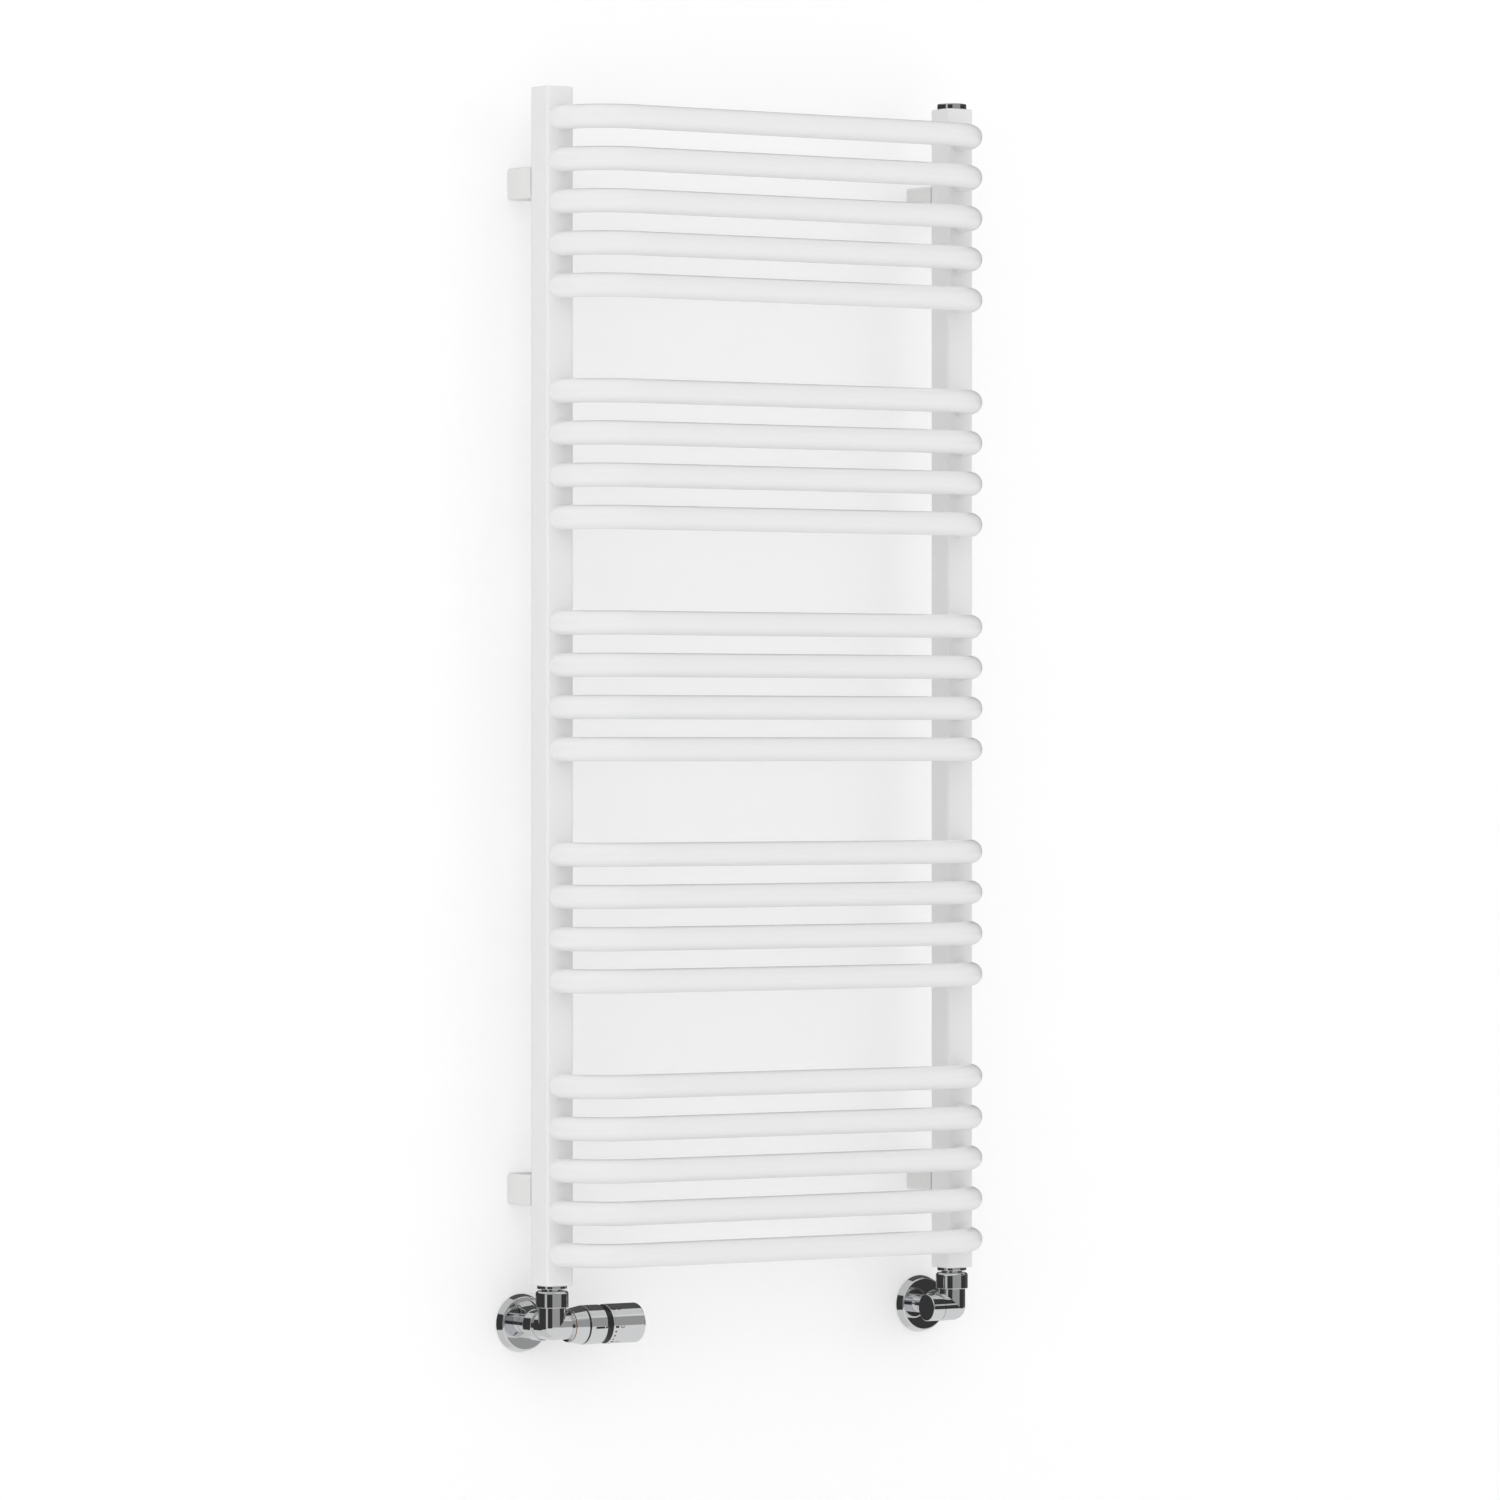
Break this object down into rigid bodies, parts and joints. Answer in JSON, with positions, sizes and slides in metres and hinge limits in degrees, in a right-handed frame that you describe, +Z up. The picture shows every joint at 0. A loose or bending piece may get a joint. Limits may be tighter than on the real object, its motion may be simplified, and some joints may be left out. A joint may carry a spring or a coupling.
{
  "type": "towel radiator",
  "caption": "White ladder towel radiator: bent round crossbars on square uprights, chrome corner valves with a turning thermostatic head, lockshield, air vent and wall brackets.",
  "frame": {"origin": "centre of the four bracket screw holes, on the wall plane", "axes": "X to the right along the crossbars, Y into the wall (the front faces -Y), Z up along the uprights"},
  "size_m": [0.526, 0.1315, 1.2124],
  "materials": {
    "white_enamel": "gloss white enamel on steel",
    "white_plastic": "white moulded plastic",
    "chrome": "polished chrome plate on brass",
    "brass": "turned brass",
    "black_plastic": "black moulded plastic",
    "rubber": "black sealing rubber",
    "steel": "zinc-plated steel"
  },
  "bodies": {
    "radiator": {"crossbar_01": "white_enamel", "crossbar_02": "white_enamel", "crossbar_03": "white_enamel", "crossbar_04": "white_enamel", "crossbar_05": "white_enamel", "crossbar_06": "white_enamel", "crossbar_07": "white_enamel", "crossbar_08": "white_enamel", "crossbar_09": "white_enamel", "crossbar_10": "white_enamel", "crossbar_11": "white_enamel", "crossbar_12": "white_enamel", "crossbar_13": "white_enamel", "crossbar_14": "white_enamel", "crossbar_15": "white_enamel", "crossbar_16": "white_enamel", "crossbar_17": "white_enamel", "crossbar_18": "white_enamel", "crossbar_19": "white_enamel", "crossbar_20": "white_enamel", "crossbar_21": "white_enamel", "crossbar_22": "white_enamel", "left_upright": "white_enamel", "right_upright": "white_enamel", "bracket_upper_left": "white_plastic", "bracket_upper_right": "white_plastic", "bracket_lower_left": "white_plastic", "bracket_lower_right": "white_plastic", "wall_plates": "white_plastic", "bracket_studs": "steel", "grub_screws": "steel", "spindle_spring": "steel", "collar_clip": "steel", "union_tails": "chrome", "union_nuts": "chrome", "supply_valve_body": "chrome", "return_valve_body": "chrome", "clamp_nuts": "chrome", "pipe_sleeves": "chrome", "head_collar": "chrome", "marker_ring": "chrome", "vent_plug": "chrome", "olives": "brass", "valve_insert": "brass", "insert_gland": "brass", "head_adapter": "brass", "lockshield_gland": "brass", "seal_rings": "rubber", "head_core": "black_plastic"},
    "dial": {"thermostat_knob": "chrome"},
    "stem": {"valve_spindle": "steel", "valve_washer": "rubber", "sensor_capsule": "brass"},
    "shield_cap": {"lockshield_cap": "chrome"},
    "shield_spindle": {"lockshield_spindle": "brass"},
    "shield_cone": {"lockshield_cone": "brass"},
    "vent_screw": {"bleed_screw": "steel"},
    "supply_cover": {"supply_rosette": "chrome"},
    "return_cover": {"return_rosette": "chrome"}
  },
  "joints": [
    {"name": "stem_lift", "type": "slide", "parent": "radiator", "child": "stem", "axis": [1, 0, 0], "range_m": [-0.00147, 0.00098], "deforming": ["spindle_spring"]},
    {"name": "knob_turn", "type": "hinge", "parent": "radiator", "child": "dial", "pos_m": [-0.16, -0.055, -0.609], "axis": [1, 0, 0], "range_deg": [-168.5, 112.5]},
    {"name": "cap_pull", "type": "slide", "parent": "radiator", "child": "shield_cap", "axis": [-1, 0, 0], "range_m": [0, 0.03]},
    {"name": "cone_travel", "type": "slide", "parent": "radiator", "child": "shield_cone", "axis": [1, 0, 0], "range_m": [-0.0005, 0.00125]},
    {"name": "lockshield_turn", "type": "hinge", "parent": "radiator", "child": "shield_spindle", "pos_m": [0.22, -0.055, -0.609], "axis": [1, 0, 0], "range_deg": [-182, 452]},
    {"name": "bleed_turn", "type": "hinge", "parent": "radiator", "child": "vent_screw", "pos_m": [0.235, -0.055, 0.57], "axis": [0, 0, 1], "range_deg": [0, 360]},
    {"name": "supply_rosette_slide", "type": "slide", "parent": "radiator", "child": "supply_cover", "axis": [0, -1, 0], "range_m": [0, 0.015]},
    {"name": "return_rosette_slide", "type": "slide", "parent": "radiator", "child": "return_cover", "axis": [0, -1, 0], "range_m": [0, 0.015]}
  ],
  "couplings": [
    {"joint": "knob_turn", "follows": "stem_lift", "rad_per_m": 2000},
    {"joint": "lockshield_turn", "follows": "cone_travel", "rad_per_m": 6283.2}
  ]
}
